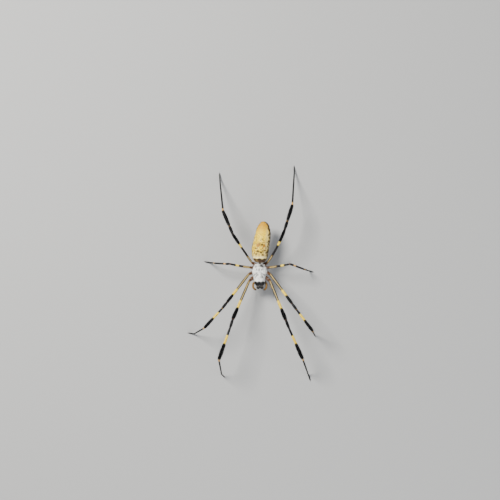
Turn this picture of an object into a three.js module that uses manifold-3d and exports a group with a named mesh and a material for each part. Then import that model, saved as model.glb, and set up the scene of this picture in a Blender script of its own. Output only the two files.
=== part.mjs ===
// Golden silk orb weaver, a still life-size model standing on its eight feet.
// Millimetres, +Z up, the floor at z = 0, the head toward -Y and the abdomen toward +Y.
// The origin is on the floor, under the middle of the whole model.
import * as THREE from "three";
import { mergeVertices } from "three/addons/utils/BufferGeometryUtils.js";
import Module from "manifold-3d";

const wasm = await Module();
wasm.setup();

// Driving dimensions of the body
const GAP = 0.1;
const HIP_HEIGHT = 7;
const SOCKET_HEIGHT = 5.95;
const BODY_ROLL = THREE.MathUtils.degToRad(6);
const MODEL_MIDDLE = { x: -3.020, y: -1.464 };

const CARAPACE = { rear: 2.15, front: -5.55, base: 6.95, lip: 0.3 };
const STERNUM = { rear: 1.9, front: -2.9, middle: 5.75, halfHeight: 0.85 };
const MOUTH = { rear: -3.05, front: -4.75, middle: 5.75, halfHeight: 0.7 };
const ABDOMEN = {
  front: [0.18, 2.62, 8], rear: [1.34, 17.5, 7.7], halfWidth: 3.15, heightRatio: 0.94,
  bend: [[0, -0.05], [0.3, -0.22], [0.72, 0.36], [0.88, 0.33], [1, 0.1]],
};
const EYE_RADIUS = 0.17;

// Leg pairs, front to back: segment lengths, the hip's place and the coxa's inner end, in the body's frame
const PAIRS = [
  { length: { femur: 16.4, patella: 3.1, tibia: 12.2, metatarsus: 14, tarsus: 2.6 },
    hip: [3.66, -3.72], socket: [1.3, -2.2], coxa: 0.68 },
  { length: { femur: 14.3, patella: 2.7, tibia: 9.6, metatarsus: 12, tarsus: 2.45 },
    hip: [3.72, -1.28], socket: [1.5, -0.75], coxa: 0.68 },
  { length: { femur: 7.9, patella: 1.5, tibia: 4.4, metatarsus: 6.9, tarsus: 1.9 },
    hip: [3.36, 0.9], socket: [1.45, 0.7], coxa: 0.6 },
  { length: { femur: 14.6, patella: 3.1, tibia: 6.4, metatarsus: 15.4, tarsus: 2.7 },
    hip: [2.7, 2.5], socket: [1.15, 1.75], coxa: 0.64 },
];

// Girths along each segment, as [place from 0 to 1, radius], out to the tips of the coat
const GIRTHS = [
  { femur: [[0, 0.46], [0.12, 0.54], [0.6, 0.52], [0.74, 0.6], [0.88, 0.76], [1, 0.6]],
    patella: [[0, 0.5], [0.5, 0.56], [1, 0.46]],
    tibia: [[0, 0.43], [0.22, 0.45], [0.36, 0.56], [0.52, 0.6], [0.7, 0.74], [0.9, 0.7], [1, 0.5]],
    metatarsus: [[0, 0.36], [0.1, 0.32], [1, 0.26]], tarsus: 0.25 },
  { femur: [[0, 0.46], [0.12, 0.54], [0.6, 0.5], [0.74, 0.54], [0.88, 0.62], [1, 0.54]],
    patella: [[0, 0.46], [0.5, 0.52], [1, 0.44]],
    tibia: [[0, 0.4], [0.2, 0.42], [0.34, 0.54], [0.52, 0.58], [0.7, 0.64], [0.9, 0.6], [1, 0.44]],
    metatarsus: [[0, 0.33], [0.1, 0.29], [1, 0.25]], tarsus: 0.25 },
  { femur: [[0, 0.4], [0.2, 0.44], [0.7, 0.44], [0.85, 0.49], [1, 0.42]],
    patella: [[0, 0.4], [0.5, 0.43], [1, 0.37]],
    tibia: [[0, 0.36], [0.4, 0.38], [1, 0.34]],
    metatarsus: [[0, 0.3], [0.1, 0.27], [1, 0.25]], tarsus: 0.25 },
  { femur: [[0, 0.42], [0.2, 0.4], [0.5, 0.42], [0.64, 0.48], [0.84, 0.65], [1, 0.52]],
    patella: [[0, 0.45], [0.5, 0.52], [1, 0.45]],
    tibia: [[0, 0.46], [0.25, 0.6], [0.7, 0.72], [0.9, 0.66], [1, 0.46]],
    metatarsus: [[0, 0.36], [0.1, 0.33], [0.6, 0.28], [1, 0.25]], tarsus: 0.25 },
];

// The pose: headings in degrees from straight ahead toward the leg's own side, and pitches above level.
// Side -1 is the animal's right, toward -X, and 1 its left.
// A metatarsus takes the pitch that brings its foot to the floor. The bow is how far a femur arches out.
const POSE = {
  right_1: { side: -1, pair: 0, heading: [23.5, 17, 19.5, -7, -42], pitch: [24.5, 10, 3, -52], bow: 0 },
  left_1: { side: 1, pair: 0, heading: [22, 21, 24, 20.5, 19.5], pitch: [23.5, 2, -5, -17], bow: 0 },
  right_2: { side: -1, pair: 1, heading: [38, 38, 42.5, 56, 97], pitch: [24.5, 10, -6.5, -22], bow: 0 },
  left_2: { side: 1, pair: 1, heading: [36.5, 36, 37, 30, 30], pitch: [21.2, 14, 4.3, -56], bow: 0 },
  right_3: { side: -1, pair: 2, heading: [100, 91, 93, 96.5, 98], pitch: [18, 4, -25, -23], bow: 0.1 },
  left_3: { side: 1, pair: 2, heading: [99.5, 71, 69, 72, 75], pitch: [14, 2, -25, -26], bow: 0.1 },
  right_4: { side: -1, pair: 3, heading: [146.2, 157.5, 157, 173.5, 177.5],
    pitch: [31, -12, -22, -25], bow: 0.04 },
  left_4: { side: 1, pair: 3, heading: [152.5, 162.5, 162.5, 175.5, 180],
    pitch: [22, -3, -16, -25], bow: 0.5 },
};

const COLOURS = {
  silver: 0xd9d3c4, amber: 0xb08a3e, black: 0x14100e, brown: 0x6b3a1c,
  yellow: 0xd9bd6c, umber: 0x4a2c18, eye: 0x0a0806,
};

const group = new THREE.Group();

function material(colour, roughness) {
  return new THREE.MeshStandardMaterial({ color: colour, roughness, metalness: 0 });
}

function add(name, geometry, colour, roughness = 0.6) {
  const mesh = new THREE.Mesh(geometry, material(colour, roughness));
  mesh.name = name;
  group.add(mesh);
  return mesh;
}

// Smooth value between stations, given as [place, value]
function along(stations, t) {
  let i = 0;
  while (i < stations.length - 2 && t > stations[i + 1][0]) i += 1;
  const [t0, v0] = stations[i];
  const [t1, v1] = stations[i + 1];
  const u = THREE.MathUtils.clamp((t - t0) / (t1 - t0), 0, 1);
  return v0 + (v1 - v0) * u * u * (3 - 2 * u);
}

// A closed solid through rings of equal count, with a fan over each end
function loft(rings) {
  const count = rings[0].length;
  const points = rings.flat();
  const first = points.length;
  const sum = (ring) => ring.reduce((total, p) => total.add(p), new THREE.Vector3());
  const centre = (ring) => sum(ring).divideScalar(ring.length);
  points.push(centre(rings[0]), centre(rings[rings.length - 1]));
  const faces = [];
  for (let r = 0; r < rings.length - 1; r += 1) {
    for (let i = 0; i < count; i += 1) {
      const a = r * count + i;
      const b = r * count + ((i + 1) % count);
      faces.push(a, b, b + count, a, b + count, a + count);
    }
  }
  const last = (rings.length - 1) * count;
  for (let i = 0; i < count; i += 1) {
    const j = (i + 1) % count;
    faces.push(first, j, i, first + 1, last + i, last + j);
  }
  const geometry = new THREE.BufferGeometry();
  const places = points.flatMap((p) => [p.x, p.y, p.z]);
  geometry.setAttribute("position", new THREE.Float32BufferAttribute(places, 3));
  geometry.setIndex(faces);
  return facingOut(geometry);
}

// Turns the faces over where the rings ran the other way round
function facingOut(geometry) {
  const position = geometry.getAttribute("position");
  const index = geometry.getIndex();
  const corner = (i) => new THREE.Vector3().fromBufferAttribute(position, index.getX(i));
  let volume = 0;
  for (let i = 0; i < index.count; i += 3) volume += corner(i).dot(corner(i + 1).cross(corner(i + 2)));
  if (volume < 0) {
    const faces = Array.from(index.array);
    for (let i = 0; i < faces.length; i += 3) [faces[i], faces[i + 1]] = [faces[i + 1], faces[i]];
    geometry.setIndex(faces);
  }
  return geometry;
}

function solid(geometry) {
  const bare = geometry.clone();
  bare.deleteAttribute("normal");
  bare.deleteAttribute("uv");
  const merged = mergeVertices(bare, 1e-4);
  return new wasm.Manifold(new wasm.Mesh({
    numProp: 3,
    vertProperties: new Float32Array(merged.getAttribute("position").array),
    triVerts: new Uint32Array(merged.getIndex().array),
  }));
}

function carve(geometry, ...cutters) {
  let body = solid(geometry);
  for (const cutter of cutters) body = body.subtract(solid(cutter));
  const mesh = body.getMesh();
  const result = new THREE.BufferGeometry();
  result.setAttribute("position", new THREE.Float32BufferAttribute(Array.from(mesh.vertProperties), 3));
  result.setIndex(Array.from(mesh.triVerts));
  return result;
}

// The body is rolled a little on its long axis, about its line at hip height
const bodyMatrix = new THREE.Matrix4()
  .makeTranslation(-MODEL_MIDDLE.x, -MODEL_MIDDLE.y, HIP_HEIGHT)
  .multiply(new THREE.Matrix4().makeRotationY(-BODY_ROLL))
  .multiply(new THREE.Matrix4().makeTranslation(0, 0, -HIP_HEIGHT));
const posed = (geometry) => geometry.applyMatrix4(bodyMatrix);
const place = (x, y, z) => new THREE.Vector3(x, y, z).applyMatrix4(bodyMatrix);

// Ring in a plane across a line, from a centre, the line's direction and two radii.
// The line never runs along the vector above, so that the ring doesn't turn over.
function ringAt(centre, direction, radius, sides, tall = 1, above = new THREE.Vector3(0, 0, 1)) {
  const across = above.clone().cross(direction).normalize();
  const up = direction.clone().cross(across).normalize();
  return Array.from({ length: sides }, (_, i) => {
    const angle = (2 * Math.PI * (i + 0.5)) / sides;
    return centre.clone()
      .addScaledVector(across, radius * Math.cos(angle))
      .addScaledVector(up, radius * tall * Math.sin(angle));
  });
}

// Slides a ring's points along a direction until they lie in a plane
function ontoPlane(ring, direction, point, normal) {
  return ring.map((p) => {
    const distance = point.clone().sub(p).dot(normal) / direction.dot(normal);
    return p.clone().addScaledVector(direction, distance);
  });
}

function heading(side, degrees, pitch) {
  const turn = THREE.MathUtils.degToRad(degrees);
  const rise = THREE.MathUtils.degToRad(pitch);
  const level = Math.cos(rise);
  return new THREE.Vector3(side * Math.sin(turn) * level, -Math.cos(turn) * level, Math.sin(rise));
}

// Carapace: a low dome, broad behind and narrower and higher at the head, with a steep face
function carapace(grow) {
  const width = [[0, 1.55], [0.07, 2.08], [0.22, 2.6], [0.34, 2.8], [0.5, 2.5], [0.64, 2.2],
    [0.84, 2.1], [0.95, 1.9], [1, 1.62]];
  const height = [[0, 0.75], [0.1, 1.25], [0.3, 1.75], [0.42, 1.8], [0.66, 2.35], [0.84, 2.3],
    [0.95, 1.95], [1, 1.45]];
  const stations = [0, 0.03, 0.1, 0.2, 0.3, 0.4, 0.5, 0.6, 0.7, 0.8, 0.88, 0.95, 1];
  const dome = 12;
  const under = 4;
  return posed(loft(stations.map((t) => {
    const last = t === 0 ? 1 : t === 1 ? -1 : 0;
    const y = THREE.MathUtils.lerp(CARAPACE.rear, CARAPACE.front, t) + grow * last;
    const w = along(width, t) + grow;
    const h = along(height, t) + grow;
    const upper = Array.from({ length: dome + 1 }, (_, i) => {
      const angle = (Math.PI * i) / dome;
      const c = Math.cos(angle);
      const x = w * Math.sign(c) * Math.abs(c) ** 0.85;
      return new THREE.Vector3(x, y, CARAPACE.base + h * Math.sin(angle) ** 0.9);
    });
    const lower = Array.from({ length: under }, (_, i) => {
      const u = -1 + (2 * (i + 0.5)) / under;
      return new THREE.Vector3(w * 0.93 * u, y, CARAPACE.base - CARAPACE.lip * (1 - u * u) - grow);
    });
    return [...upper, ...lower];
  })));
}

// Sternum: the shield between the coxae, with the lip in front of it
function sternum(grow) {
  const width = [[0, 0.25], [0.15, 0.75], [0.45, 1.1], [0.75, 1.0], [0.9, 0.7], [1, 0.45]];
  const stations = [0, 0.12, 0.28, 0.45, 0.62, 0.8, 0.92, 1];
  return posed(loft(stations.map((t) => {
    const last = t === 0 ? 1 : t === 1 ? -1 : 0;
    const y = THREE.MathUtils.lerp(STERNUM.rear, STERNUM.front, t) + grow * last;
    const w = along(width, t) + grow;
    return Array.from({ length: 12 }, (_, i) => {
      const angle = (2 * Math.PI * (i + 0.5)) / 12;
      const z = STERNUM.middle + (STERNUM.halfHeight * (0.55 + 0.4 * w) + grow) * Math.sin(angle);
      return new THREE.Vector3(w * Math.cos(angle), y, z);
    });
  })));
}

// Mouth: the soft parts under the head, between the sternum and the chelicerae
function mouth(grow) {
  const width = [[0, 0.55], [0.3, 0.95], [0.7, 0.9], [1, 0.5]];
  const stations = [0, 0.25, 0.5, 0.75, 1];
  return posed(loft(stations.map((t) => {
    const last = t === 0 ? 1 : t === 1 ? -1 : 0;
    const y = THREE.MathUtils.lerp(MOUTH.rear, MOUTH.front, t) + grow * last;
    const w = along(width, t) + grow;
    return Array.from({ length: 12 }, (_, i) => {
      const angle = (2 * Math.PI * (i + 0.5)) / 12;
      const z = MOUTH.middle + (MOUTH.halfHeight + grow) * Math.sin(angle);
      return new THREE.Vector3(w * Math.cos(angle), y, z);
    });
  })));
}

// Abdomen: a long rounded barrel with a blunt rear, widest a third of the way back, and bent a little
function abdomen(grow) {
  const shape = [[0, 0.3], [0.012, 0.5], [0.03, 0.64], [0.1, 0.83], [0.2, 0.95], [0.32, 1], [0.55, 0.955],
    [0.7, 0.89], [0.8, 0.81], [0.88, 0.69], [0.94, 0.53], [0.98, 0.34], [1, 0.16]];
  const stations = [0, 0.012, 0.03, 0.065, 0.11, 0.18, 0.27, 0.38, 0.5, 0.61, 0.71, 0.8, 0.87,
    0.925, 0.965, 0.99, 1];
  const front = new THREE.Vector3(...ABDOMEN.front);
  const rear = new THREE.Vector3(...ABDOMEN.rear);
  const axis = rear.clone().sub(front).normalize();
  return posed(loft(stations.map((t) => {
    const centre = front.clone().lerp(rear, t);
    centre.x += along(ABDOMEN.bend, t);
    if (t === 0) centre.addScaledVector(axis, -grow);
    if (t === 1) centre.addScaledVector(axis, grow);
    return ringAt(centre, axis, ABDOMEN.halfWidth * along(shape, t) + grow, 20, ABDOMEN.heightRatio);
  })));
}

function pedicel() {
  const from = new THREE.Vector3(0, 1.75, 6.5);
  const to = new THREE.Vector3(0.15, 3.1, 7.3);
  const axis = to.clone().sub(from).normalize();
  return posed(loft([0, 0.5, 1].map((t) => ringAt(from.clone().lerp(to, t), axis, 0.4, 10))));
}

function spinnerets() {
  const from = new THREE.Vector3(1.2, 15.1, 6.3);
  const to = new THREE.Vector3(1.3, 16.75, 5.3);
  const axis = to.clone().sub(from).normalize();
  const girth = [[0, 0.62], [0.5, 0.5], [1, 0.26]];
  return posed(loft([0, 0.35, 0.7, 1].map((t) => {
    const centre = from.clone().lerp(to, t);
    return ringAt(centre, axis, along(girth, t), 10);
  })));
}

// A low dome on the head's surface, from its foot, the outward direction and its radius
function eye(foot, outward, radius) {
  const steps = 4;
  const profile = [new THREE.Vector2(0, 0)];
  for (let i = 0; i <= steps; i += 1) {
    const angle = (0.5 * Math.PI * i) / steps;
    const reach = i === steps ? 0 : radius * Math.cos(angle);
    profile.push(new THREE.Vector2(reach, radius * (0.35 + 0.75 * Math.sin(angle))));
  }
  const geometry = mergeVertices(stripped(new THREE.LatheGeometry(profile, 8)), 1e-4);
  const latheAxis = new THREE.Vector3(0, 1, 0);
  const turn = new THREE.Quaternion().setFromUnitVectors(latheAxis, outward.clone().normalize());
  geometry.applyQuaternion(turn);
  geometry.translate(foot.x, foot.y, foot.z);
  return posed(facingOut(geometry));
}

function stripped(geometry) {
  geometry.deleteAttribute("normal");
  geometry.deleteAttribute("uv");
  return geometry;
}

// A curved horn or feeler through a few places, thick to thin
function curvedLimb(places, girth, sides, steps, above) {
  const curve = new THREE.CatmullRomCurve3(places.map((p) => new THREE.Vector3(...p)));
  return posed(loft(Array.from({ length: steps + 1 }, (_, i) => {
    const t = i / steps;
    return ringAt(curve.getPoint(t), curve.getTangent(t), along(girth, t), sides, 1, above);
  })));
}

// One leg's joints, hip to foot, and the direction of each segment
function legLine(leg) {
  const { length, hip } = PAIRS[leg.pair];
  const names = ["femur", "patella", "tibia", "metatarsus", "tarsus"];
  const pitch = [...leg.pitch.slice(0, 3), 0, leg.pitch[3]];
  const joints = [place(leg.side * hip[0], hip[1], HIP_HEIGHT)];
  const directions = [];
  for (let i = 0; i < names.length; i += 1) {
    if (i === 3) {
      const tarsusDrop = -Math.sin(THREE.MathUtils.degToRad(pitch[4])) * length.tarsus;
      pitch[3] = -THREE.MathUtils.radToDeg(Math.asin((joints[3].z - tarsusDrop) / length.metatarsus));
    }
    directions.push(heading(leg.side, leg.heading[i], pitch[i]));
    joints.push(joints[i].clone().addScaledVector(directions[i], length[names[i]]));
  }
  return { joints, directions };
}

// A tube between two joints, its ends cut on the planes that halve the bends
function segment(line, i, girth, count, sides, side, bow) {
  const from = line.joints[i];
  const to = line.joints[i + 1];
  const direction = line.directions[i];
  const outward = direction.clone().cross(new THREE.Vector3(0, 0, side)).normalize();
  const before = line.bends[i];
  const after = line.bends[i + 1];
  return loft(Array.from({ length: count + 1 }, (_, k) => {
    const t = k / count;
    const centre = from.clone().lerp(to, t).addScaledVector(outward, 4 * bow * t * (1 - t));
    const ring = ringAt(centre, direction, along(girth, t), sides);
    if (k === 0) return ontoPlane(ring, direction, from.clone().addScaledVector(before, GAP / 2), before);
    if (k === count) return ontoPlane(ring, direction, to.clone().addScaledVector(after, -GAP / 2), after);
    return ring;
  }));
}

// Metatarsus and tarsus in one, ending in a small flat on the floor
function foot(line, girths, count, sides) {
  const [, , , knee, ankle, tip] = line.joints;
  const [, , , upper, lower] = line.directions;
  const rings = Array.from({ length: count }, (_, k) => {
    const t = k / count;
    const ring = ringAt(knee.clone().lerp(ankle, t), upper, along(girths.metatarsus, t), sides);
    const bend = line.bends[3];
    return k === 0 ? ontoPlane(ring, upper, knee.clone().addScaledVector(bend, GAP / 2), bend) : ring;
  });
  const halfway = upper.clone().add(lower).normalize();
  rings.push(ontoPlane(ringAt(ankle, upper, girths.tarsus, sides), upper, ankle, halfway));
  const floor = new THREE.Vector3(0, 0, 1);
  rings.push(ontoPlane(ringAt(tip, lower, girths.tarsus, sides), lower, tip, floor));
  return loft(rings);
}

function coxa(leg, line) {
  const { socket, coxa: radius } = PAIRS[leg.pair];
  const from = place(leg.side * socket[0], socket[1], SOCKET_HEIGHT);
  const to = line.joints[0];
  const direction = to.clone().sub(from).normalize();
  const girth = [[0, radius * 0.9], [0.55, radius * 1.12], [0.8, radius * 1.02], [1, radius * 0.85]];
  const bend = line.bends[0];
  return loft([0, 0.2, 0.4, 0.6, 0.8, 1].map((t) => {
    const ring = ringAt(from.clone().lerp(to, t), direction, along(girth, t), 10);
    return t === 1 ? ontoPlane(ring, direction, to.clone().addScaledVector(bend, -GAP / 2), bend) : ring;
  }));
}

function addBody() {
  add("carapace", carapace(0), COLOURS.silver, 0.45);
  add("sternum", sternum(0), COLOURS.umber);
  add("mouth", carve(mouth(0), carapace(GAP)), COLOURS.umber);
  add("abdomen", abdomen(0), COLOURS.yellow, 0.5);
  add("pedicel", carve(pedicel(), carapace(GAP), sternum(GAP), abdomen(GAP)), COLOURS.umber);
  add("spinnerets", carve(spinnerets(), abdomen(GAP)), COLOURS.brown);
}

// Eight eyes in two rows of four across the front of the head
function addEyes() {
  const rows = [
    { name: "front", inner: [0.3, -5.62, 8.05], outer: [1.18, -5.5, 7.95], lean: [0.12, -1, 0.35] },
    { name: "rear", inner: [0.36, -5.42, 8.68], outer: [1.32, -5.28, 8.4], lean: [0.2, -0.75, 0.85] },
  ];
  for (const row of rows) {
    for (const [side, sideName] of [[-1, "right"], [1, "left"]]) {
      for (const spot of ["inner", "outer"]) {
        const tilt = new THREE.Vector3(...row.lean);
        tilt.x = side * (spot === "inner" ? tilt.x : tilt.x + 0.45);
        const at = new THREE.Vector3(...row[spot]);
        at.x *= side;
        add(`eye_${row.name}_${spot}_${sideName}`, eye(at, tilt, EYE_RADIUS), COLOURS.eye, 0.1);
      }
    }
  }
}

function addMouthparts() {
  for (const [side, name] of [[-1, "right"], [1, "left"]]) {
    const jaw = [[side * 0.68, -4.95, 6.4], [side * 0.7, -5.8, 6.35], [side * 0.7, -6.38, 5.6],
      [side * 0.68, -6.3, 4.35]];
    const jawGirth = [[0, 0.48], [0.3, 0.6], [0.55, 0.64], [0.8, 0.56], [1, 0.34]];
    const beside = new THREE.Vector3(1, 0, 0);
    const chelicera = carve(curvedLimb(jaw, jawGirth, 12, 8, beside), carapace(GAP));
    add(`chelicera_${name}`, chelicera, COLOURS.black, 0.3);
    const fang = [[side * 0.76, -6.31, 4.22], [side * 0.82, -6.35, 3.94], [side * 0.66, -6.3, 3.7],
      [side * 0.32, -6, 3.68], [side * 0.18, -5.55, 3.84]];
    const fangGirth = [[0, 0.19], [0.6, 0.14], [1, 0.06]];
    const fangPlane = new THREE.Vector3(side * 0.7, 0.7, 0);
    add(`fang_${name}`, curvedLimb(fang, fangGirth, 8, 8, fangPlane), COLOURS.black, 0.25);
    const palp = [[side * 1.05, -3.7, 5.5], [side * 1.75, -4.3, 5.6], [side * 2.4, -5.1, 6.3],
      [side * 2.4, -6.1, 6.5], [side * 1.95, -6.9, 6], [side * 1.35, -7.3, 5.3]];
    const palpGirth = [[0, 0.42], [0.3, 0.36], [0.55, 0.38], [0.8, 0.36], [1, 0.26]];
    add(`pedipalp_${name}`, carve(curvedLimb(palp, palpGirth, 8, 12), mouth(GAP)), COLOURS.amber);
  }
}

function addLegs() {
  const shell = [carapace(GAP), sternum(GAP)];
  for (const [name, leg] of Object.entries(POSE)) {
    const line = legLine(leg);
    const { socket } = PAIRS[leg.pair];
    const root = place(leg.side * socket[0], socket[1], SOCKET_HEIGHT);
    const steps = [line.joints[0].clone().sub(root).normalize(), ...line.directions];
    line.bends = line.directions.map((d, i) => d.clone().add(steps[i]).normalize());
    const girths = GIRTHS[leg.pair];
    add(`leg_${name}_coxa`, carve(coxa(leg, line), ...shell), COLOURS.brown);
    add(`leg_${name}_femur`, segment(line, 0, girths.femur, 8, 10, leg.side, leg.bow), COLOURS.amber);
    add(`leg_${name}_patella`, segment(line, 1, girths.patella, 4, 10, leg.side, 0), COLOURS.black);
    add(`leg_${name}_tibia`, segment(line, 2, girths.tibia, 8, 10, leg.side, 0), COLOURS.black);
    add(`leg_${name}_foot`, foot(line, girths, 6, 10), COLOURS.black, 0.4);
  }
}

addBody();
addEyes();
addMouthparts();
addLegs();

export default group;
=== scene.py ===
"""Looks of a golden silk orb weaver standing on its eight feet.

Lengths are millimetres until a mesh is made, and MM turns them to metres. +Z is up, the head points
toward -Y and the animal's left is toward +X.
"""

import math

import bpy
import numpy as np
from bpy.props import FloatProperty, FloatVectorProperty, IntProperty, PointerProperty
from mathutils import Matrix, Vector, kdtree, noise


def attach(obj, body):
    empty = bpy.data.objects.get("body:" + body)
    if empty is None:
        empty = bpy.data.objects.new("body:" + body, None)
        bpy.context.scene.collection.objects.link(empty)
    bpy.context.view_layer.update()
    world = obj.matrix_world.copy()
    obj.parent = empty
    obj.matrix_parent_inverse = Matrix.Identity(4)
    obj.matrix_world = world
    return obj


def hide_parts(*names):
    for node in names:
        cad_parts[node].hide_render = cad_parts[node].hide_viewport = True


bl_info = {
    "name": "Golden Silk Orb Weaver",
    "version": (1, 0, 0),
    "blender": (4, 5, 0),
    "location": "View3D > Sidebar > Spider",
    "description": "Skin, eyes, claws and coat of an orb weaving spider round its solid model",
    "category": "Object",
}

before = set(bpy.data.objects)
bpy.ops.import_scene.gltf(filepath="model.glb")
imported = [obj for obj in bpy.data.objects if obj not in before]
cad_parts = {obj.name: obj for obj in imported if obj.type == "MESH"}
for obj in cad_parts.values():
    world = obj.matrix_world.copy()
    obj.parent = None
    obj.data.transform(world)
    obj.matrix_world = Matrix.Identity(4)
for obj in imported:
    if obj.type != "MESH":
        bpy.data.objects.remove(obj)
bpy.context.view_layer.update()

MM = 0.001
TURN = 2 * math.pi
UP = np.array((0.0, 0.0, 1.0))

# The body's place, which the solids share
HIP_HEIGHT = 7.0
SOCKET_HEIGHT = 5.95
BODY_ROLL = math.radians(6)
MODEL_MIDDLE = np.array((-3.020, -1.464, 0.0))

# Leg pairs, front to back: lengths from femur to tarsus, the hip and the coxa's inner end
SEGMENTS = ("femur", "patella", "tibia", "metatarsus", "tarsus")
PAIRS = (
    {"length": (16.4, 3.1, 12.2, 14.0, 2.6), "hip": (3.66, -3.72), "socket": (1.3, -2.2)},
    {"length": (14.3, 2.7, 9.6, 12.0, 2.45), "hip": (3.72, -1.28), "socket": (1.5, -0.75)},
    {"length": (7.9, 1.5, 4.4, 6.9, 1.9), "hip": (3.36, 0.9), "socket": (1.45, 0.7)},
    {"length": (14.6, 3.1, 6.4, 15.4, 2.7), "hip": (2.7, 2.5), "socket": (1.15, 1.75)},
)

# Each leg: side, pair, headings from straight ahead, pitches without the metatarsus's, the femur's bow
POSE = {
    "right_1": (-1, 0, (23.5, 17, 19.5, -7, -42), (24.5, 10, 3, -52), 0.0),
    "left_1": (1, 0, (22, 21, 24, 20.5, 19.5), (23.5, 2, -5, -17), 0.0),
    "right_2": (-1, 1, (38, 38, 42.5, 56, 97), (24.5, 10, -6.5, -22), 0.0),
    "left_2": (1, 1, (36.5, 36, 37, 30, 30), (21.2, 14, 4.3, -56), 0.0),
    "right_3": (-1, 2, (100, 91, 93, 96.5, 98), (18, 4, -25, -23), 0.1),
    "left_3": (1, 2, (99.5, 71, 69, 72, 75), (14, 2, -25, -26), 0.1),
    "right_4": (-1, 3, (146.2, 157.5, 157, 173.5, 177.5), (31, -12, -22, -25), 0.04),
    "left_4": (1, 3, (152.5, 162.5, 162.5, 175.5, 180), (22, -3, -16, -25), 0.5),
}

# Bare girths under the coat, as (place along, radius)
FEMUR = ((0, 0.26), (0.02, 0.37), (0.1, 0.46), (0.3, 0.48), (0.6, 0.45), (0.9, 0.42), (0.985, 0.38),
         (1, 0.3))
PATELLA = ((0, 0.32), (0.07, 0.41), (0.4, 0.47), (0.75, 0.46), (0.94, 0.39), (1, 0.31))
TIBIA = ((0, 0.3), (0.02, 0.37), (0.1, 0.41), (0.5, 0.4), (0.9, 0.38), (0.985, 0.34), (1, 0.26))
METATARSUS = ((0, 0.24), (0.02, 0.32), (0.06, 0.32), (0.2, 0.295), (1, 0.235))
TARSUS = ((0, 0.22), (0.1, 0.225), (0.85, 0.2), (1, 0.12))
THICKNESS = (
    (1.0, 1.0, 1.0, 1.0, 1.0),
    (0.97, 0.95, 0.95, 0.95, 0.95),
    (0.84, 0.84, 0.85, 0.92, 0.95),
    (0.82, 0.93, 1.12, 1.06, 1.0),
)

# Surface colours as they look in daylight, red, green and blue from 0 to 255
INK = (7, 7, 9)
SOOT = (22, 18, 17)
PALE_BAND = (248, 214, 60)
RING = (204, 156, 84)
KNEE = (150, 98, 74)
OLIVE_AMBER = (134, 104, 38)
RUST = (84, 50, 20)
DARK_RUST = (42, 26, 12)
SILVER = (246, 245, 240)
ASH = (60, 56, 54)
# Grey of the painted highlight on the glossy roots of the jaws
PAINTED_JAW_HIGHLIGHT = (116, 110, 100)
LEMON = (255, 216, 34)
CREAM = (248, 230, 164)
# Colour of the painted glints on the abdomen
GLINT_IVORY = (255, 236, 138)
NETWORK = (112, 68, 20)
AMBER = (200, 141, 2)
UMBER = (66, 42, 22)
ORANGE = (180, 124, 22)
PALP_GOLD = (142, 104, 42)
PALE_OLIVE = (128, 104, 62)
MUD = (146, 92, 28)
BELLY_BROWN = (92, 66, 34)
REAR_OLIVE = (128, 98, 38)
EYE_BLACK = (16, 10, 8)
FANG_RED = (46, 16, 8)
CLAW_BROWN = (30, 16, 10)

COAT_DEPTH = 0.12


def linear(colour):
    """A daylight colour from 0 to 255 as the linear values that the shaders use."""
    c = np.asarray(colour, float) / 255
    return np.where(c <= 0.04045, c / 12.92, ((c + 0.055) / 1.055) ** 2.4)


def unit(v):
    """Vectors of length one in the same directions."""
    v = np.asarray(v, float)
    return v / np.maximum(np.linalg.norm(v, axis=-1, keepdims=True), 1e-9)


def along(stations, t):
    """Smooth values between stations given as (place, value)."""
    x = np.array([s[0] for s in stations], float)
    y = np.array([s[1] for s in stations], float)
    t = np.clip(np.asarray(t, float), x[0], x[-1])
    i = np.clip(np.searchsorted(x, t, side="right") - 1, 0, len(x) - 2)
    u = (t - x[i]) / (x[i + 1] - x[i])
    return y[i] + (y[i + 1] - y[i]) * u * u * (3 - 2 * u)


def soft_step(low, high, x):
    """A share from 0 at low to 1 at high, with a smooth rise. Low may be above high."""
    u = np.clip((np.asarray(x, float) - low) / (high - low), 0, 1)
    return u * u * (3 - 2 * u)


def mix(a, b, share):
    """Blends rows of a toward b by a share for each row."""
    share = np.asarray(share, float)[..., None]
    return a * (1 - share) + b * share


def ripple(points, size, seed=0.0):
    """Smooth noise from about -1 to 1 with features of the given size."""
    shifted = np.asarray(points, float) / size + seed
    return np.array([noise.noise(Vector(p)) for p in shifted])


def placed(points):
    """Points of the body's own frame, rolled a little on its long axis and moved to the model's frame."""
    p = np.atleast_2d(np.asarray(points, float))
    c, s = math.cos(BODY_ROLL), math.sin(BODY_ROLL)
    z = p[:, 2] - HIP_HEIGHT
    turned = np.stack((p[:, 0] * c - z * s, p[:, 1], p[:, 0] * s + z * c + HIP_HEIGHT), 1)
    return turned - MODEL_MIDDLE


def unplaced(points):
    """The way back from the model's frame to the body's own."""
    p = np.atleast_2d(points) + MODEL_MIDDLE
    c, s = math.cos(BODY_ROLL), math.sin(BODY_ROLL)
    z = p[:, 2] - HIP_HEIGHT
    return np.stack((p[:, 0] * c + z * s, p[:, 1], -p[:, 0] * s + z * c + HIP_HEIGHT), 1)


def heading(side, degrees, pitch):
    turn, rise = math.radians(degrees), math.radians(pitch)
    level = math.cos(rise)
    return np.array((side * math.sin(turn) * level, -math.cos(turn) * level, math.sin(rise)))


def leg_line(side, pair, headings, pitches):
    """Joints of one leg from the hip to the tip. The metatarsus takes the pitch that lands the foot."""
    lengths, hip = PAIRS[pair]["length"], PAIRS[pair]["hip"]
    joints = [placed((side * hip[0], hip[1], HIP_HEIGHT))[0]]
    pitch = [*pitches[:3], None, pitches[3]]
    for i, length in enumerate(lengths):
        if pitch[i] is None:
            drop = -math.sin(math.radians(pitch[4])) * lengths[4]
            pitch[i] = -math.degrees(math.asin((joints[i][2] - drop) / length))
        joints.append(joints[i] + heading(side, headings[i], pitch[i]) * length)
    return joints


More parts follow.
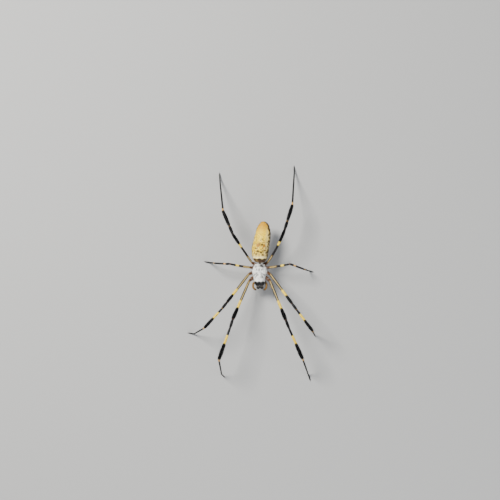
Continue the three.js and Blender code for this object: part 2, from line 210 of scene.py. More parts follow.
class Limb:
    """A round part along a line, whose surface is found by place along it and angle round it."""

    def __init__(self, kind, places, girth, tall=1.0, thickness=1.0, owner=None, sides=18, above=UP):
        self.kind, self.owner, self.sides, self.above = kind, owner, sides, np.array(above, float)
        self.girth, self.tall, self.thickness = girth, tall, thickness
        self.places = np.array(places, float)
        steps = np.linalg.norm(np.diff(self.places, axis=0), axis=1)
        self.length = steps.sum()
        self.stations = np.concatenate(([0], np.cumsum(steps))) / self.length
        self.tangents = unit(np.gradient(self.places, axis=0))

    def line(self, t):
        t = np.asarray(t, float)
        held = np.clip(t, 0, 1)
        centre = np.stack([np.interp(held, self.stations, self.places[:, k]) for k in range(3)], -1)
        tangent = unit(np.stack([np.interp(held, self.stations, self.tangents[:, k]) for k in range(3)], -1))
        centre = centre + tangent * ((t - held) * self.length)[..., None]
        across = unit(np.cross(self.above, tangent))
        return centre, tangent, across, np.cross(tangent, across)

    def radius(self, t):
        return along(self.girth, t) * self.thickness

    def point(self, t, angle, lift=0.0):
        centre, _, across, up = self.line(t)
        r = (self.radius(t) + lift)[..., None]
        return centre + r * (np.cos(angle)[..., None] * across + self.tall * np.sin(angle)[..., None] * up)

    def inside(self, t):
        return self.line(t)[0]

    def rings(self):
        count = max(6, int(self.length / 0.3))
        t = np.concatenate(([0, 0.25 / count], np.linspace(0, 1, count)[1:-1], [1 - 0.25 / count, 1]))
        angles = TURN * np.arange(self.sides) / self.sides
        return self.point(np.repeat(t, self.sides), np.tile(angles, len(t))).reshape(len(t), self.sides, 3)

    def locate(self, points):
        """Place along and angle round, for points on or near the surface."""
        fine = np.linspace(0, 1, 60)
        centre, tangent, _, _ = self.line(fine)
        nearest = np.argmin(((points[:, None, :] - centre[None]) ** 2).sum(-1), axis=1)
        step = ((points - centre[nearest]) * tangent[nearest]).sum(-1) / self.length
        t = np.clip(fine[nearest] + step, -0.05, 1.05)
        middle, _, across, up = self.line(t)
        off = points - middle
        return t, np.arctan2((off * up).sum(-1) / self.tall, (off * across).sum(-1))


class Carapace:
    """The low dome over the front of the body, with a steep face."""

    kind, owner = "carapace", None
    rear, front, base = 2.15, -5.55, 6.95
    width = ((0, 1.55), (0.07, 2.08), (0.22, 2.6), (0.34, 2.8), (0.5, 2.5), (0.64, 2.2), (0.84, 2.1),
             (0.95, 1.9), (1, 1.62))
    height = ((0, 0.75), (0.1, 1.25), (0.3, 1.75), (0.42, 1.8), (0.66, 2.35), (0.84, 2.3), (0.95, 1.95),
              (1, 1.45))

    def point(self, t, angle, lift=0.0):
        t = np.asarray(t, float)
        w = along(self.width, t) - 1.6 * COAT_DEPTH + lift
        h = along(self.height, t) - COAT_DEPTH + lift
        c, s = np.cos(angle), np.sin(angle)
        x = w * np.sign(c) * np.abs(c) ** 0.85
        z = self.base + h * np.where(s > 0, np.abs(s) ** 0.9, -0.28 * np.abs(s) / np.maximum(h, 0.1))
        y = self.rear + (self.front - self.rear) * t
        shape = np.broadcast(x, y, z).shape
        flat = np.stack([np.broadcast_to(v, shape) for v in (x, y, z)], -1).reshape(-1, 3)
        return placed(flat).reshape(*shape, 3)

    def inside(self, t):
        t = np.asarray(t, float)
        y = self.rear + (self.front - self.rear) * t
        return placed(np.stack((np.zeros_like(y), y, np.full_like(y, self.base)), -1))

    def rings(self):
        t = np.concatenate(([0, 0.015], np.linspace(0.04, 0.96, 40), [0.98, 1]))
        angles = TURN * np.arange(44) / 44
        return self.point(np.repeat(t, 44), np.tile(angles, len(t))).reshape(len(t), 44, 3)


def bowed(start, end, side, bow, steps=14):
    """A line between two joints that arches out by the bow."""
    t = np.linspace(0, 1, steps)[:, None]
    outward = unit(np.cross(end - start, UP * side))
    return start + (end - start) * t + outward * (4 * bow * t * (1 - t))


def curve_through(places, steps=40):
    """A smooth line through a few places in the body's frame."""
    p = np.array(places, float)
    p = np.vstack((2 * p[0] - p[1], p, 2 * p[-1] - p[-2]))
    out = []
    for i in range(1, len(p) - 2):
        for u in np.linspace(0, 1, steps // (len(p) - 3), endpoint=False):
            a, b, c, d = p[i - 1:i + 3]
            out.append(0.5 * (2 * b + (c - a) * u + (2 * a - 5 * b + 4 * c - d) * u * u
                              + (3 * b - a - 3 * c + d) * u ** 3))
    out.append(p[-2])
    return placed(np.array(out))


def leg_parts():
    parts = []
    for name, (side, pair, headings, pitches, bow) in POSE.items():
        joints = leg_line(side, pair, headings, pitches)
        socket = PAIRS[pair]["socket"]
        root = placed((side * socket[0], socket[1], SOCKET_HEIGHT))[0]
        hip = joints[0]
        into = unit(joints[1] - hip)
        scale = (1.0, 1.0, 0.88, 0.94)[pair]
        coxa = ((0, 0.5), (0.15, 0.62), (0.5, 0.72), (0.85, 0.66), (1, 0.4))
        parts.append(Limb("coxa", (root, hip - unit(hip - root) * 0.55), coxa, thickness=scale, owner=name))
        trochanter = ((0, 0.34), (0.3, 0.52), (0.7, 0.52), (1, 0.32))
        parts.append(Limb("trochanter", (hip - unit(hip - root) * 0.8, hip + into * 0.3), trochanter,
                          thickness=scale, owner=name))
        girths = (FEMUR, PATELLA, TIBIA, METATARSUS, TARSUS)
        for i, (kind, girth) in enumerate(zip(SEGMENTS, girths)):
            start, end = joints[i], joints[i + 1]
            reach = unit(end - start) * 0.09
            line = bowed(start - reach, end + (reach if i < 4 else 0), side, bow if i == 0 else 0.0)
            parts.append(Limb(kind, line, girth, thickness=THICKNESS[pair][i], owner=name, sides=14))
    return parts


def trunk_parts():
    front, rear = np.array((0.18, 2.62, 8.0)), np.array((1.34, 17.5, 7.7))
    bend = ((0, -0.05), (0.3, -0.22), (0.72, 0.36), (0.88, 0.33), (1, 0.1))
    middle = np.linspace(front, rear, 24)
    middle[:, 0] += along(bend, np.linspace(0, 1, 24))
    abdomen = ((0, 0.8), (0.012, 1.5), (0.03, 1.96), (0.1, 2.55), (0.2, 2.93), (0.32, 3.09), (0.55, 2.95),
               (0.7, 2.74), (0.8, 2.49), (0.88, 2.11), (0.94, 1.61), (0.98, 1.01), (1, 0.44))
    parts = [
        Carapace(),
        Limb("abdomen", placed(middle), abdomen, tall=0.94, sides=48),
        Limb("pedicel", placed(np.linspace((0, 1.4, 6.5), (0.15, 3.4, 7.4), 6)),
             ((0, 0.36), (0.5, 0.34), (1, 0.4))),
        Limb("sternum", placed(np.linspace((0, 1.95, 5.75), (0, -2.95, 5.75), 10)),
             ((0, 0.2), (0.15, 0.75), (0.45, 1.15), (0.75, 1.05), (0.92, 0.7), (1, 0.4)), tall=0.8),
        Limb("mouth", placed(np.linspace((0, -2.7, 5.8), (0, -5.0, 5.9), 8)),
             ((0, 0.5), (0.3, 0.95), (0.7, 0.9), (1, 0.5)), tall=0.85),
        Limb("head_floor", placed(np.linspace((0, -1.0, 6.6), (0, -5.2, 6.7), 8)),
             ((0, 0.6), (0.3, 1.5), (0.8, 1.5), (1, 1.0)), tall=0.45),
    ]
    for side in (-1, 1):
        bends = ((0.66, -4.95, 6.5), (0.68, -5.75, 6.4), (0.68, -6.34, 5.6), (0.68, -6.28, 4.3))
        jaw = curve_through([(side * x, y, z) for x, y, z in bends])
        girth = ((0, 0.42), (0.25, 0.56), (0.55, 0.62), (0.8, 0.54), (0.94, 0.4), (1, 0.2))
        parts.append(Limb("chelicera", jaw, girth, sides=20, above=(1, 0, 0)))
        bends = ((0.95, -3.6, 5.5), (1.75, -4.3, 5.6), (2.4, -5.1, 6.3), (2.4, -6.1, 6.5), (1.95, -6.9, 6.0),
                 (1.35, -7.3, 5.3))
        palp = curve_through([(side * x, y, z) for x, y, z in bends], 60)
        girth = ((0, 0.44), (0.14, 0.34), (0.2, 0.32), (0.32, 0.36), (0.45, 0.34), (0.48, 0.29),
                 (0.55, 0.36), (0.62, 0.3), (0.68, 0.36), (0.77, 0.3), (0.86, 0.34), (0.95, 0.25), (1, 0.12))
        parts.append(Limb("palp", palp, girth, owner=side))
        for foot, length, size in (((0.34, 15.5, 6.0), 1.25, 0.34), ((0.3, 16.2, 6.2), 0.95, 0.26)):
            start = np.array((1.25 + side * foot[0], foot[1], foot[2]))
            end = start + unit((side * 0.1, 0.75, -0.62)) * length
            parts.append(Limb("spinneret", placed(np.linspace(start, end, 6)),
                              ((0, size), (0.5, size * 0.85), (0.9, size * 0.55), (1, size * 0.3))))
    return parts


def eye_spots():
    """Name, foot and outward direction of each of the eight eyes, in the body's frame."""
    rows = {
        "front": {"inner": (0.3, -5.62, 8.05), "outer": (1.18, -5.5, 7.95), "lean": (0.12, -1, 0.35)},
        "rear": {"inner": (0.36, -5.42, 8.68), "outer": (1.32, -5.28, 8.4), "lean": (0.2, -0.75, 0.85)},
    }
    for row, data in rows.items():
        for side, side_name in ((-1, "right"), (1, "left")):
            for spot in ("inner", "outer"):
                at = np.array(data[spot]) * (side, 1, 1)
                lean = np.array(data["lean"], float)
                lean[0] = side * (lean[0] + (0.45 if spot == "outer" else 0))
                yield f"eye_{row}_{spot}_{side_name}", at, unit(lean)


def new_object(name, mesh):
    obj = bpy.data.objects.new(name, mesh)
    bpy.context.scene.collection.objects.link(obj)
    return obj


def ring_mesh(name, stacks):
    """One mesh of closed skins, each given as rings of equal count with a fan over each end."""
    points, faces, base = [], [], 0
    for rings in stacks:
        count, sides = rings.shape[:2]
        points.append(rings.reshape(-1, 3))
        points.append(rings[[0, -1]].mean(1))
        around = np.arange(sides)
        after = (around + 1) % sides
        for r in range(count - 1):
            a, b = base + r * sides + around, base + r * sides + after
            faces.extend(np.stack((a, b, b + sides, a + sides), 1).tolist())
        first = base + count * sides
        last = base + (count - 1) * sides
        faces.extend(np.stack((np.full(sides, first), base + after, base + around), 1).tolist())
        faces.extend(np.stack((np.full(sides, first + 1), last + around, last + after), 1).tolist())
        base = first + 2
    mesh = bpy.data.meshes.new(name)
    mesh.from_pydata(np.concatenate(points).tolist(), [], faces)
    mesh.update()
    return mesh


def applied(obj):
    """Turns the object's modifiers into plain mesh."""
    graph = bpy.context.evaluated_depsgraph_get()
    mesh = bpy.data.meshes.new_from_object(obj.evaluated_get(graph), depsgraph=graph)
    obj.modifiers.clear()
    obj.data = mesh
    return obj


def get_points(mesh, field="co"):
    flat = np.zeros(len(mesh.vertices) * 3, np.float32)
    if field == "co":
        mesh.vertices.foreach_get("co", flat)
    else:
        mesh.vertex_normals.foreach_get("vector", flat)
    return flat.reshape(-1, 3).astype(float)


def set_points(mesh, points):
    mesh.vertices.foreach_set("co", np.asarray(points, np.float32).ravel())
    mesh.update()


def paint(mesh, name, colours):
    """Writes a colour for each vertex."""
    layer = mesh.attributes.new(name, "FLOAT_COLOR", "POINT")
    filled = np.ones((len(colours), 4), np.float32)
    filled[:, :3] = colours
    layer.data.foreach_set("color", filled.ravel())


def store(mesh, name, values):
    layer = mesh.attributes.new(name, "FLOAT", "POINT")
    layer.data.foreach_set("value", np.asarray(values, np.float32))


def smooth_shaded(mesh):
    mesh.polygons.foreach_set("use_smooth", np.ones(len(mesh.polygons), bool))


# Bands along each leg segment, as (place where it ends, colour), by pair
BANDS = {
    "femur": (
        ((0.53, OLIVE_AMBER), (0.71, PALE_BAND), (1.1, INK)),
        ((0.55, OLIVE_AMBER), (0.73, PALE_BAND), (1.1, INK)),
        ((0.36, OLIVE_AMBER), (0.57, SOOT), (0.71, PALE_BAND), (1.1, INK)),
        ((0.25, REAR_OLIVE), (0.56, SOOT), (0.66, PALE_BAND), (1.1, INK)),
    ),
    "patella": (
        ((0.06, KNEE), (1.1, INK)),
        ((0.03, KNEE), (1.1, INK)),
        ((0.06, KNEE), (1.1, INK)),
        ((0.03, KNEE), (1.1, INK)),
    ),
    "tibia": (
        ((0.25, INK), (0.5, PALE_BAND), (1.1, INK)),
        ((0.015, RING), (0.21, INK), (0.48, PALE_BAND), (1.1, INK)),
        ((0.16, RING), (1.1, SOOT)),
        ((0.025, RING), (1.1, INK)),
    ),
    "metatarsus": (
        ((0.09, RING), (1.1, INK)),
        ((0.09, RING), (1.1, INK)),
        ((0.12, RING), (1.1, INK)),
        ((0.07, RING), (1.1, INK)),
    ),
    "tarsus": (((1.1, INK),),) * 4,
}


def banded(bands, t, wobble):
    """Colours of a banded segment, with uneven edges."""
    colour = np.tile(linear(bands[0][1]), (len(t), 1))
    for (edge, _), (_, following) in zip(bands, bands[1:]):
        colour = mix(colour, linear(following), soft_step(edge - 0.012, edge + 0.012, t + wobble * 0.02))
    return colour


def leg_colour(part, t, angle, points):
    pair = POSE[part.owner][1]
    wobble = ripple(points, 0.25, 3.1)
    colour = banded(BANDS[part.kind][pair], t, wobble)
    top = np.cos(angle - math.pi / 2)
    if part.kind == "femur":
        base = 1 - soft_step(BANDS["femur"][pair][0][0] - 0.03, BANDS["femur"][pair][0][0], t)
        reach = (0.985, 0.98, 0.9, 0.975)[pair]
        strength = (1.0, 1.0, 0.3, 0.9)[pair]
        stripe = soft_step(reach, reach - 0.085, top) * soft_step(-0.6, -0.3, top) * strength
        lane = np.stack((t * 5, np.sign(np.cos(angle)) * 2, t * 0), 1)
        whole = soft_step(-0.7, -0.35, ripple(lane, 0.6, 7.7) + 0.25 * wobble)
        colour = mix(colour, linear(SOOT), base * stripe * whole * soft_step(0.04, 0.1, t))
        # Painted highlight: cream along the top of the femur's base
        colour = mix(colour, linear(CREAM), base * soft_step(0.9, 0.99, top) * 0.3)
        colour = mix(colour, linear(RUST), (1 - soft_step(0.0, 0.08, t)) * 0.7)
    return colour


def painted_jaw_highlight_share(points):
    """How far the painted highlight on the glossy roots of the jaws covers points of the jaws and of the
    face above them.
    """
    _, y, z = unplaced(points).T
    lengthwise = soft_step(-6.45, -5.95, y) * soft_step(-5.15, -5.5, y)
    return 0.75 * lengthwise * soft_step(6.2, 6.75, z) * soft_step(7.5, 7.15, z)


def carapace_colour(points):
    p = unplaced(points)
    x, y, z = p.T
    t = (y - Carapace.rear) / (Carapace.front - Carapace.rear)
    colour = np.tile(linear(SILVER), (len(p), 1))
    grain = ripple(points, 0.35, 1.7)
    fovea = np.exp(-((x / 0.24) ** 2 + ((y - 0.15) / 0.5) ** 2))
    colour = mix(colour, linear(ASH), np.clip(fovea * 0.95, 0, 1))
    for slant, reach in ((0.65, 1.9), (1.5, 1.25), (-0.9, 0.9)):
        off = np.abs(np.abs(x) * slant + (y + 0.55)) / math.hypot(slant, 1)
        within = soft_step(0.5, 0.8, np.abs(x)) * (1 - soft_step(reach, reach + 0.4, np.abs(x)))
        band = np.exp(-((off / 0.17) ** 2)) * within
        colour = mix(colour, linear(ASH), band * 0.93)
    # Painted shadow: a dark patch where the overhanging abdomen shades the rear of the carapace
    abdomen_shadow = np.exp(-(((x - 0.9) / 0.8) ** 2 + ((y - 1.7 + 0.3 * x) / 0.5) ** 2))
    colour = mix(colour, linear(SOOT), np.clip(abdomen_shadow * 1.6, 0, 1) * 0.93)
    for at_x, at_y, size in ((-1.25, 1.25, 0.36), (1.35, 0.3, 0.26), (-0.5, -1.7, 0.22), (0.75, -2.5, 0.22)):
        smudge = np.exp(-(((x - at_x) / size) ** 2 + ((y - at_y) / (1.2 * size)) ** 2))
        colour = mix(colour, linear(ASH), smudge * 0.8)
    colour = mix(colour, linear(ASH), soft_step(0.15, 0.6, grain) * 0.42)
    scallop = 0.018 * np.cos(x * TURN / 1.3)
    face = soft_step(0.805, 0.82, t + scallop + grain * 0.006)
    colour = mix(colour, linear(INK), face)
    # Painted highlight: grey on the face just above the glossy roots of the jaws
    colour = mix(colour, linear(PAINTED_JAW_HIGHLIGHT), painted_jaw_highlight_share(points) * face)
    edge = soft_step(7.02, 6.86, z) * (1 - face)
    return mix(colour, linear(DARK_RUST), np.clip(edge, 0, 1) * 0.8)


def abdomen_colour(t, angle, points):
    """Yellow back with brown mottling, dark flanks with pale spots, a cream front band, an amber rear and
    painted highlights.
    """
    side = (angle - math.pi / 2 + math.pi) % TURN - math.pi
    around = -side - 0.07
    arc = np.stack((around * 3.0, t * 15, np.zeros_like(t)), 1)
    fine, coarse = ripple(arc, 0.42, 5.2), ripple(arc, 1.15, 9.4)
    cells = ripple(arc, 0.62, 2.2)
    colour = mix(np.tile(linear(LEMON), (len(t), 1)), linear(CREAM), soft_step(0.3, 0.14, t) * 0.45)
    colour = mix(colour, linear(AMBER), soft_step(0.62, 0.95, t) * 0.9)
    # Painted highlight: a cream streak down one side of the back
    pale = np.exp(-(((around + 0.75) / 0.28) ** 2)) * soft_step(0.05, 0.2, t) * soft_step(0.95, 0.7, t)
    colour = mix(colour, linear(CREAM), pale * 0.6)
    for spot in (-0.45, 0.31):
        patch = np.exp(-(((around - spot) / 0.24) ** 2 + ((t - 0.41) / 0.05) ** 2))
        colour = mix(colour, linear(ORANGE), np.clip(patch * 1.3, 0, 1) * 0.95)
    # Painted highlights: ivory glints scattered over the front and middle of the back
    painted_glints = soft_step(0.12, 0.4, ripple(arc * (1.3, 0.8, 1), 0.5, 31.4)) * soft_step(0.75, 0.5, t)
    colour = mix(colour, linear(GLINT_IVORY), painted_glints * 0.7)
    net = 1 - soft_step(0.03, 0.14, np.abs(cells + 0.3 * fine))
    net = net * (0.22 + 0.78 * soft_step(0.8, 0.5, t)) * soft_step(0.12, 0.18, t)
    colour = mix(colour, linear(NETWORK), net * 0.9)
    mottle = soft_step(0.16, 0.45, cells + fine * 0.35) * soft_step(0.66, 0.4, t) * soft_step(0.1, 0.17, t)
    colour = mix(colour, linear(MUD), mottle * 0.7)
    freckle = soft_step(0.28, 0.5, fine) * soft_step(0.0, 0.4, coarse + 0.25) * soft_step(0.78, 0.55, t)
    colour = mix(colour, linear(UMBER), freckle * 0.85)
    for place, off, size in ((0.44, -0.2, 0.13), (0.27, 0.21, 0.16), (0.245, -0.18, 0.14), (0.33, 0.5, 0.09),
                             (0.3, -0.62, 0.11), (0.2, 0.42, 0.12), (0.19, -0.4, 0.12), (0.56, -0.1, 0.07)):
        spot = np.exp(-(((around - off) / size) ** 2 + ((t - place) / (size * 0.14)) ** 2))
        colour = mix(colour, linear(UMBER), np.clip(spot * 2.1, 0, 1) * 0.93)
    rim = 1.03 + 0.17 * np.tanh(3 * around) + 0.11 * np.sin(t * 44) + 0.08 * coarse
    rim = rim - 0.3 * soft_step(0.75, 1.0, t)
    flank = soft_step(rim, rim + 0.09, np.abs(around))
    colour = mix(colour, linear(UMBER), flank * 0.93)
    dots = soft_step(0.22, 0.42, ripple(arc, 0.5, 12.6)) * flank * soft_step(2.2, 1.7, np.abs(around))
    colour = mix(colour, linear(CREAM), dots * 0.8)
    belly = soft_step(2.3, 2.6, np.abs(around))
    colour = mix(colour, linear(BELLY_BROWN), belly * 0.8)
    colour = mix(colour, linear(OLIVE_AMBER), belly * soft_step(0.1, 0.5, ripple(arc, 0.8, 4.4)) * 0.7)
    lobes = 0.095 + 0.012 * np.cos(around * 8)
    front = soft_step(lobes + 0.012, lobes - 0.012, t)
    olive_share = soft_step(-0.2, 0.5, fine + coarse)
    olive = mix(np.tile(linear(UMBER), (len(t), 1)), linear(PALE_OLIVE), olive_share)
    colour = mix(colour, olive, front)
    arc_edge = np.exp(-(((t - lobes + 0.014) / 0.013) ** 2)) * soft_step(1.5, 1.2, np.abs(around))
    colour = mix(colour, linear(SOOT), arc_edge * 0.85)
    band = np.exp(-(((t - 0.122) / 0.022) ** 2)) * soft_step(1.35, 1.1, np.abs(around))
    return mix(colour, linear(CREAM), np.clip(band * 1.2, 0, 1) * (1 - front) * 0.95)


def plain(colour, points, spread=0.25):
    """One colour with a soft mottle."""
    share = soft_step(-0.5, 0.8, ripple(points, 0.5, 6.6)) * spread
    return mix(np.tile(linear(colour), (len(points), 1)), linear(colour) * 0.35, share)


def part_colour(part, points):
    """The animal's markings with painted highlights and a painted shadow at points on one part. Skin and
    coat both take their colours here.
    """
    if part.kind == "carapace":
        return carapace_colour(points)
    t, angle = part.locate(points)
    if part.kind == "abdomen":
        return abdomen_colour(t, angle, points)
    if part.kind in SEGMENTS:
        return leg_colour(part, t, angle, points)
    if part.kind == "palp":
        gold = plain(PALP_GOLD, points)
        return mix(gold, linear(INK), soft_step(0.8, 0.92, t))
    if part.kind in ("chelicera", "head_floor", "mouth"):
        root = RUST if part.kind == "mouth" else INK
        # The grey mixed in here is a painted highlight on the glossy roots of the jaws
        return mix(plain(root, points), linear(PAINTED_JAW_HIGHLIGHT), painted_jaw_highlight_share(points))
    if part.kind in ("coxa", "trochanter"):
        rust = plain(RUST, points, 0.5)
        return mix(rust, linear(DARK_RUST), soft_step(0.75, 1.0, t) * 0.5)
    if part.kind == "sternum":
        return mix(plain(DARK_RUST, points, 0.3), linear(PALE_BAND), soft_step(0.25, 0.1, t) * 0.5)
    return plain(DARK_RUST, points, 0.4)


# Roughness of the skin by part, and the parts whose skin is laid onto their true round surface
GLOSS = {"chelicera": 0.28, "femur": 0.38, "patella": 0.34, "tibia": 0.36, "metatarsus": 0.34,
         "tarsus": 0.38, "abdomen": 0.46, "carapace": 0.45}
ROUNDED = (*SEGMENTS, "abdomen", "palp", "coxa", "chelicera")


def nearest_part(parts, points):
    """Index of the part whose own surface is nearest, for each point."""
    samples = [part.rings().reshape(-1, 3) for part in parts]
    owner = np.repeat(np.arange(len(parts)), [len(s) for s in samples])
    tree = kdtree.KDTree(len(owner))
    for i, p in enumerate(np.concatenate(samples)):
        tree.insert(p, i)
    tree.balance()
    return owner[[tree.find(p)[1] for p in points]]


def relief(part, points):
    """Height of folds, pits and grooves that stand in the skin itself."""
    if part.kind == "carapace":
        x, y, _ = unplaced(points).T
        height = -0.16 * np.exp(-((x / 0.16) ** 2 + ((y - 0.15) / 0.42) ** 2))
        for slant in (0.65, 1.5):
            off = np.abs(np.abs(x) * slant + (y + 0.55)) / math.hypot(slant, 1)
            height -= 0.06 * np.exp(-((off / 0.13) ** 2)) * soft_step(0.4, 0.7, np.abs(x))
        for _, at, _ in eye_spots():
            near = ((unplaced(points) - at) ** 2).sum(-1)
            height += 0.15 * np.exp(-near / 0.3 ** 2)
        return height
    if part.kind == "abdomen":
        t, angle = part.locate(points)
        around = -((angle - math.pi / 2 + math.pi) % TURN - math.pi)
        height = 0.02 * ripple(points * (1, 0.6, 1), 0.8, 2.0)
        for place in (0.2, 0.36, 0.52, 0.67):
            for side in (-0.3, 0.3):
                height -= 0.07 * np.exp(-(((around - side) / 0.07) ** 2 + ((t - place) / 0.014) ** 2))
        folds = soft_step(1.2, 1.7, np.abs(around)) * soft_step(2.6, 2.1, np.abs(around))
        return height + 0.02 * folds * np.sin(t * 90 + around * 3)
    if part.kind == "chelicera":
        return 0.012 * ripple(points, 0.3, 8.0)
    return np.zeros(len(points))


def add_node(tree, kind, inputs, **options):
    """Adds a node, sets its options, and links or fills each of the inputs given by name or number."""
    node = tree.nodes.new(kind)
    for name, value in options.items():
        setattr(node, name, value)
    for socket, value in inputs.items():
        if isinstance(value, bpy.types.NodeSocket):
            tree.links.new(value, node.inputs[socket])
        else:
            node.inputs[socket].default_value = value
    return node.outputs


def noise_group():
    """Fine grain of the skin: darkens and roughens a colour and gives its height."""
    group = bpy.data.node_groups.new("Skin Grain", "ShaderNodeTree")
    sockets = group.interface
    sockets.new_socket("Colour", in_out="INPUT", socket_type="NodeSocketColor")
    for name, value in (("Scale", 9000.0), ("Contrast", 0.3), ("Roughness", 0.4)):
        sockets.new_socket(name, in_out="INPUT", socket_type="NodeSocketFloat").default_value = value
    sockets.new_socket("Colour", in_out="OUTPUT", socket_type="NodeSocketColor")
    sockets.new_socket("Roughness", in_out="OUTPUT", socket_type="NodeSocketFloat")
    sockets.new_socket("Height", in_out="OUTPUT", socket_type="NodeSocketFloat")
    given = group.nodes.new("NodeGroupInput").outputs
    place = add_node(group, "ShaderNodeTexCoord", {})["Object"]
    at_scale = {"Vector": place, "Scale": given["Scale"]}
    fine = add_node(group, "ShaderNodeTexNoise", {**at_scale, "Detail": 4})["Fac"]
    pores = add_node(group, "ShaderNodeTexVoronoi", at_scale)["Distance"]
    darkest = add_node(group, "ShaderNodeMath", {0: 1.0, 1: given["Contrast"]}, operation="SUBTRACT")[0]
    shade = add_node(group, "ShaderNodeMapRange", {
        "Value": fine, "From Min": 0.35, "From Max": 0.7, "To Min": 1.0, "To Max": darkest})["Result"]
    colour = add_node(group, "ShaderNodeVectorMath", {0: given["Colour"], "Scale": shade},
                      operation="SCALE")[0]
    rough = add_node(group, "ShaderNodeMath", {0: fine, 1: 0.3, 2: given["Roughness"]},
                     operation="MULTIPLY_ADD")[0]
    height = add_node(group, "ShaderNodeMath", {0: fine, 1: pores}, operation="ADD")[0]
    add_node(group, "NodeGroupOutput", {"Colour": colour, "Roughness": rough, "Height": height})
    return group


def material(name, roughness=0.45, specular=0.5, coat=0.0, sheen=0.0):
    made_material = bpy.data.materials.new(name)
    made_material.use_nodes = True
    shader = made_material.node_tree.nodes["Principled BSDF"]
    shader.inputs["Roughness"].default_value = roughness
    shader.inputs["Specular IOR Level"].default_value = specular
    shader.inputs["Coat Weight"].default_value = coat
    shader.inputs["Coat Roughness"].default_value = 0.12
    shader.inputs["Sheen Weight"].default_value = sheen
    return made_material, shader


def grained(name, source, scale=9000.0, contrast=0.3, roughness=0.35, depth=0.00002, coat=0.0, specular=0.5):
    """A material whose colour comes from painted markings or one given colour, with fine grain over it."""
    made_material, shader = material(name, coat=coat, specular=specular)
    tree = made_material.node_tree
    inputs = {"Scale": scale, "Contrast": contrast, "Roughness": roughness}
    if isinstance(source, str):
        inputs["Colour"] = add_node(tree, "ShaderNodeAttribute", {}, attribute_name=source)["Color"]
        inputs["Roughness"] = add_node(tree, "ShaderNodeAttribute", {}, attribute_name="gloss")["Fac"]
    else:
        inputs["Colour"] = (*linear(source), 1)
    grain = bpy.data.node_groups.get("Skin Grain") or noise_group()
    grain = add_node(tree, "ShaderNodeGroup", inputs, node_tree=grain)
    tree.links.new(grain["Colour"], shader.inputs["Base Color"])
    tree.links.new(grain["Roughness"], shader.inputs["Roughness"])
    bump = add_node(tree, "ShaderNodeBump", {"Distance": depth, "Strength": 0.8, "Height": grain["Height"]})
    tree.links.new(bump["Normal"], shader.inputs["Normal"])
    return made_material


def hair_material(name, roughness, specular, sheen):
    """Colour painted on each hair, a little uneven along the coat."""
    made_material, shader = material(name, roughness, specular, sheen=sheen)
    tree = made_material.node_tree
    painted = add_node(tree, "ShaderNodeAttribute", {}, attribute_name="markings_and_painted_light")["Color"]
    place = add_node(tree, "ShaderNodeTexCoord", {})["Object"]
    wave = add_node(tree, "ShaderNodeTexNoise", {"Vector": place, "Scale": 2500})["Fac"]
    shade = add_node(tree, "ShaderNodeMapRange", {"Value": wave, "To Min": 0.8, "To Max": 1.15})["Result"]
    tint = add_node(tree, "ShaderNodeVectorMath", {0: painted, "Scale": shade}, operation="SCALE")[0]
    tree.links.new(tint, shader.inputs["Base Color"])
    return made_material


def bristle_tree():
    """Geometry Nodes: one tapered, curved hair on each point, by its aim, lean and size attributes."""
    tree = bpy.data.node_groups.new("Bristles", "GeometryNodeTree")
    sockets = tree.interface
    sockets.new_socket("Geometry", in_out="INPUT", socket_type="NodeSocketGeometry")
    sides = sockets.new_socket("Sides", in_out="INPUT", socket_type="NodeSocketInt")
    sides.default_value = 3
    curl = sockets.new_socket("Curl", in_out="INPUT", socket_type="NodeSocketFloat")
    curl.default_value = 3.0
    finish = sockets.new_socket("Finish", in_out="INPUT", socket_type="NodeSocketMaterial")
    sockets.new_socket("Geometry", in_out="OUTPUT", socket_type="NodeSocketGeometry")
    given = tree.nodes.new("NodeGroupInput").outputs

    # The hair: a cone one unit long, bent sideways by the square of the height
    cone = add_node(tree, "GeometryNodeMeshCone", {
        "Vertices": given["Sides"], "Side Segments": 2, "Radius Top": 0.0, "Radius Bottom": 1.0,
        "Depth": 1.0})["Mesh"]
    where = add_node(tree, "GeometryNodeInputPosition", {})[0]
    height = add_node(tree, "ShaderNodeSeparateXYZ", {0: where})["Z"]
    square = add_node(tree, "ShaderNodeMath", {0: height, 1: height}, operation="MULTIPLY")[0]
    bend = add_node(tree, "ShaderNodeMath", {0: square, 1: given["Curl"]}, operation="MULTIPLY")[0]
    flip = add_node(tree, "ShaderNodeMath", {0: bend, 1: -1.0}, operation="MULTIPLY")[0]
    offset = add_node(tree, "ShaderNodeCombineXYZ", {"X": flip})[0]
    curved = add_node(tree, "GeometryNodeSetPosition", {"Geometry": cone, "Offset": offset})[0]

    def attribute(name):
        return add_node(tree, "GeometryNodeInputNamedAttribute", {"Name": name},
                        data_type="FLOAT_VECTOR")["Attribute"]

    stand = add_node(tree, "FunctionNodeAlignRotationToVector", {"Vector": attribute("aim")}, axis="Z")[0]
    roll = add_node(tree, "FunctionNodeAlignRotationToVector",
                    {"Rotation": stand, "Vector": attribute("lean")}, axis="X", pivot_axis="Z")[0]
    copies = add_node(tree, "GeometryNodeInstanceOnPoints", {
        "Points": given["Geometry"], "Instance": curved, "Rotation": roll, "Scale": attribute("size")})[0]
    real = add_node(tree, "GeometryNodeRealizeInstances", {0: copies})[0]
    dressed = add_node(tree, "GeometryNodeSetMaterial", {"Geometry": real, "Material": given["Finish"]})[0]
    add_node(tree, "NodeGroupOutput", {0: dressed})
    return tree, {"Curl": curl.identifier, "Sides": sides.identifier, "Finish": finish.identifier}


